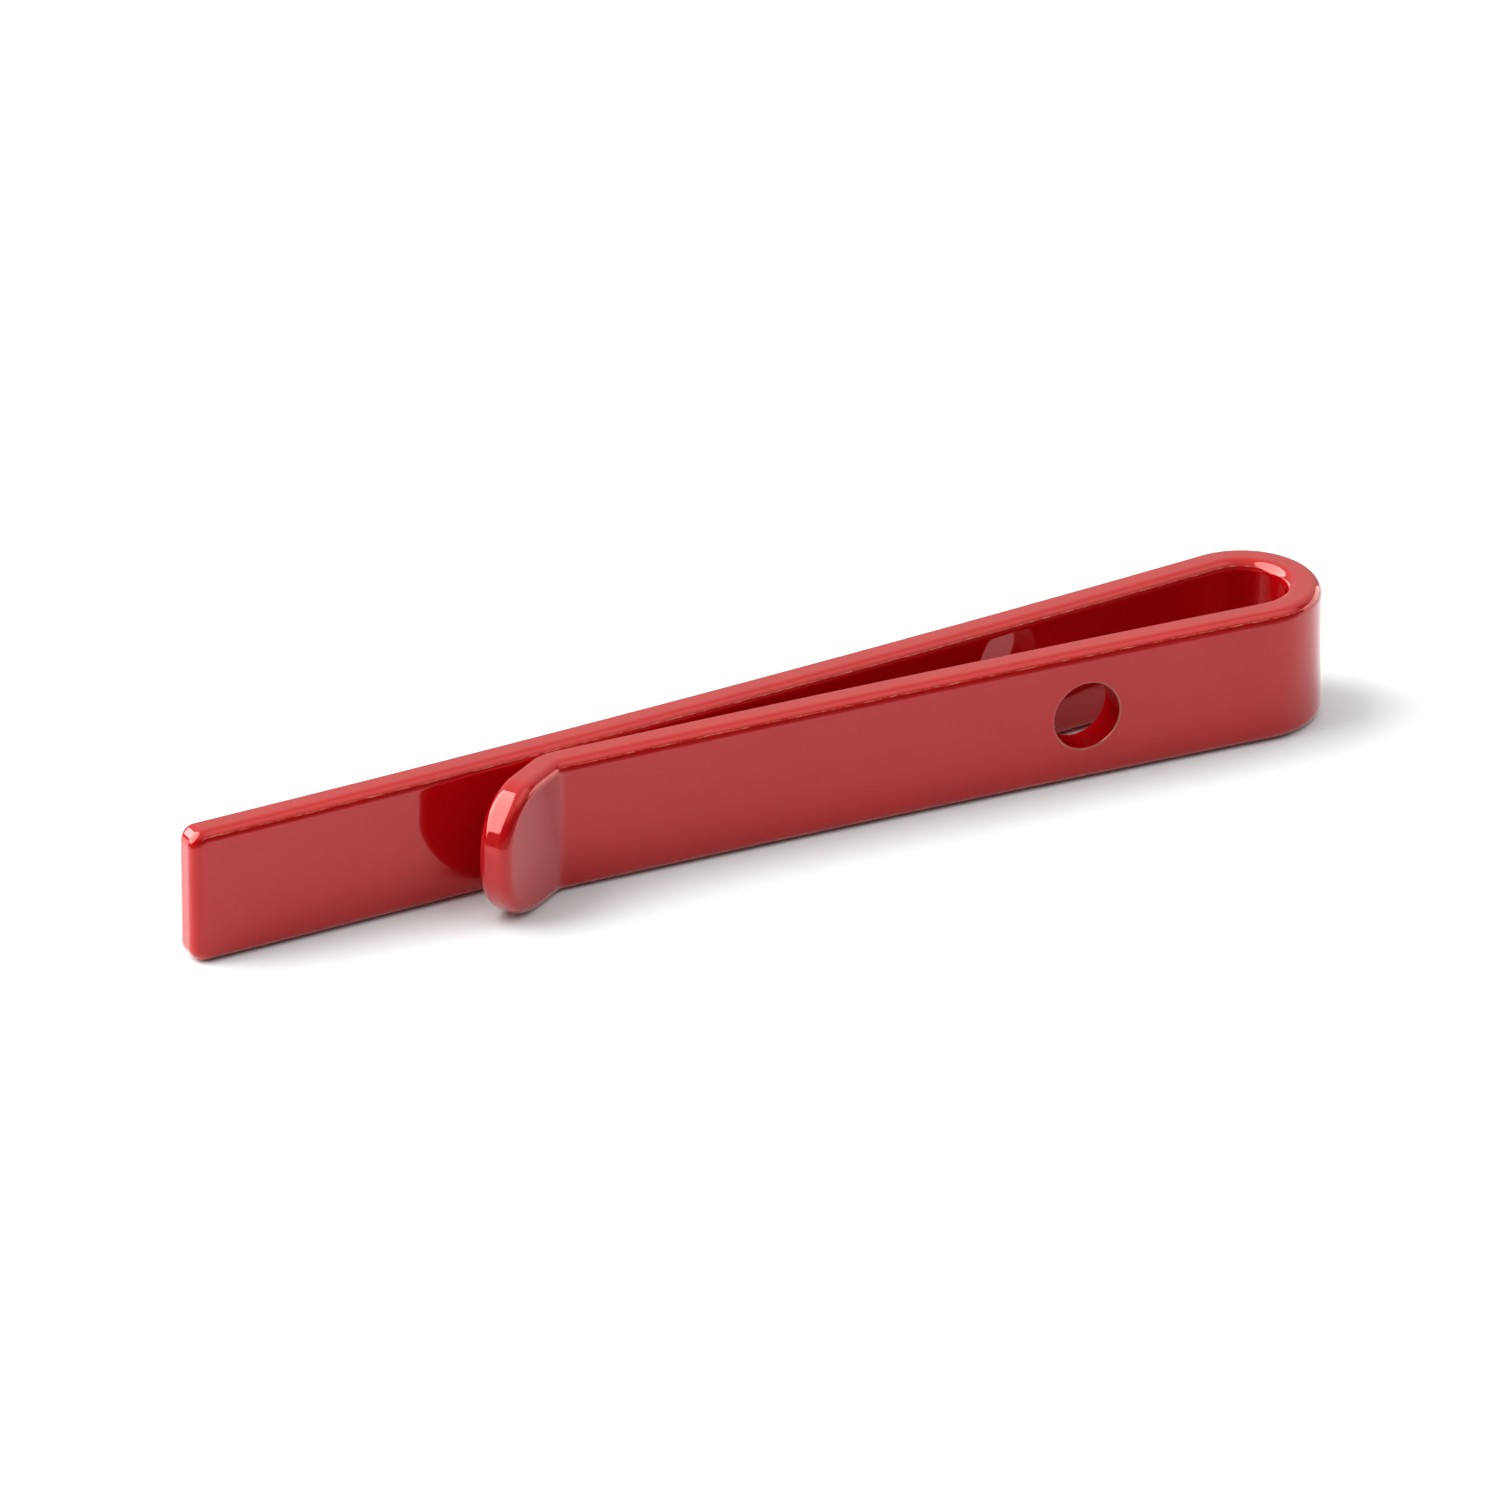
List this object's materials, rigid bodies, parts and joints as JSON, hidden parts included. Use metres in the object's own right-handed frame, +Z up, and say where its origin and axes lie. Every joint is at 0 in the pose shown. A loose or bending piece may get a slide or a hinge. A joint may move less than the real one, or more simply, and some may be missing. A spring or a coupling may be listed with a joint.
{
  "type": "tie bar",
  "caption": "Hairpin tie bar of flat lacquered strip: a long bowed bar, a round bend, a shorter spring arm with a hole, and a flared lip.",
  "frame": {"origin": "centre of the footprint, on the surface that the strip's long edge stands on", "axes": "+X along the long bar towards the bend, +Y towards the long bar's outer face, +Z up across the strip's width"},
  "size_m": [0.0526, 0.0084, 0.006],
  "materials": {
    "lacquer": "gloss",
    "metal": "satin"
  },
  "bodies": {
    "bar_side": {"long_bar_metal": "metal", "long_bar_lacquer": "lacquer", "bend_1_metal": "metal", "bend_1_lacquer": "lacquer", "bend_2_metal": "metal", "bend_2_lacquer": "lacquer", "bend_3_metal": "metal", "bend_3_lacquer": "lacquer"},
    "arm_side": {"bend_4_metal": "metal", "bend_4_lacquer": "lacquer", "bend_5_metal": "metal", "bend_5_lacquer": "lacquer", "bend_6_metal": "metal", "bend_6_lacquer": "lacquer", "spring_arm_metal": "metal", "spring_arm_lacquer": "lacquer", "flared_lip_metal": "metal", "flared_lip_lacquer": "lacquer"}
  },
  "joints": [
    {"name": "bend_flex", "type": "hinge", "parent": "bar_side", "child": "arm_side", "pos_m": [0.02628, -0.0011, 0.003], "axis": [0, 0, 1], "range_deg": [0, 5], "stiffness_Nm_per_rad": 2}
  ]
}
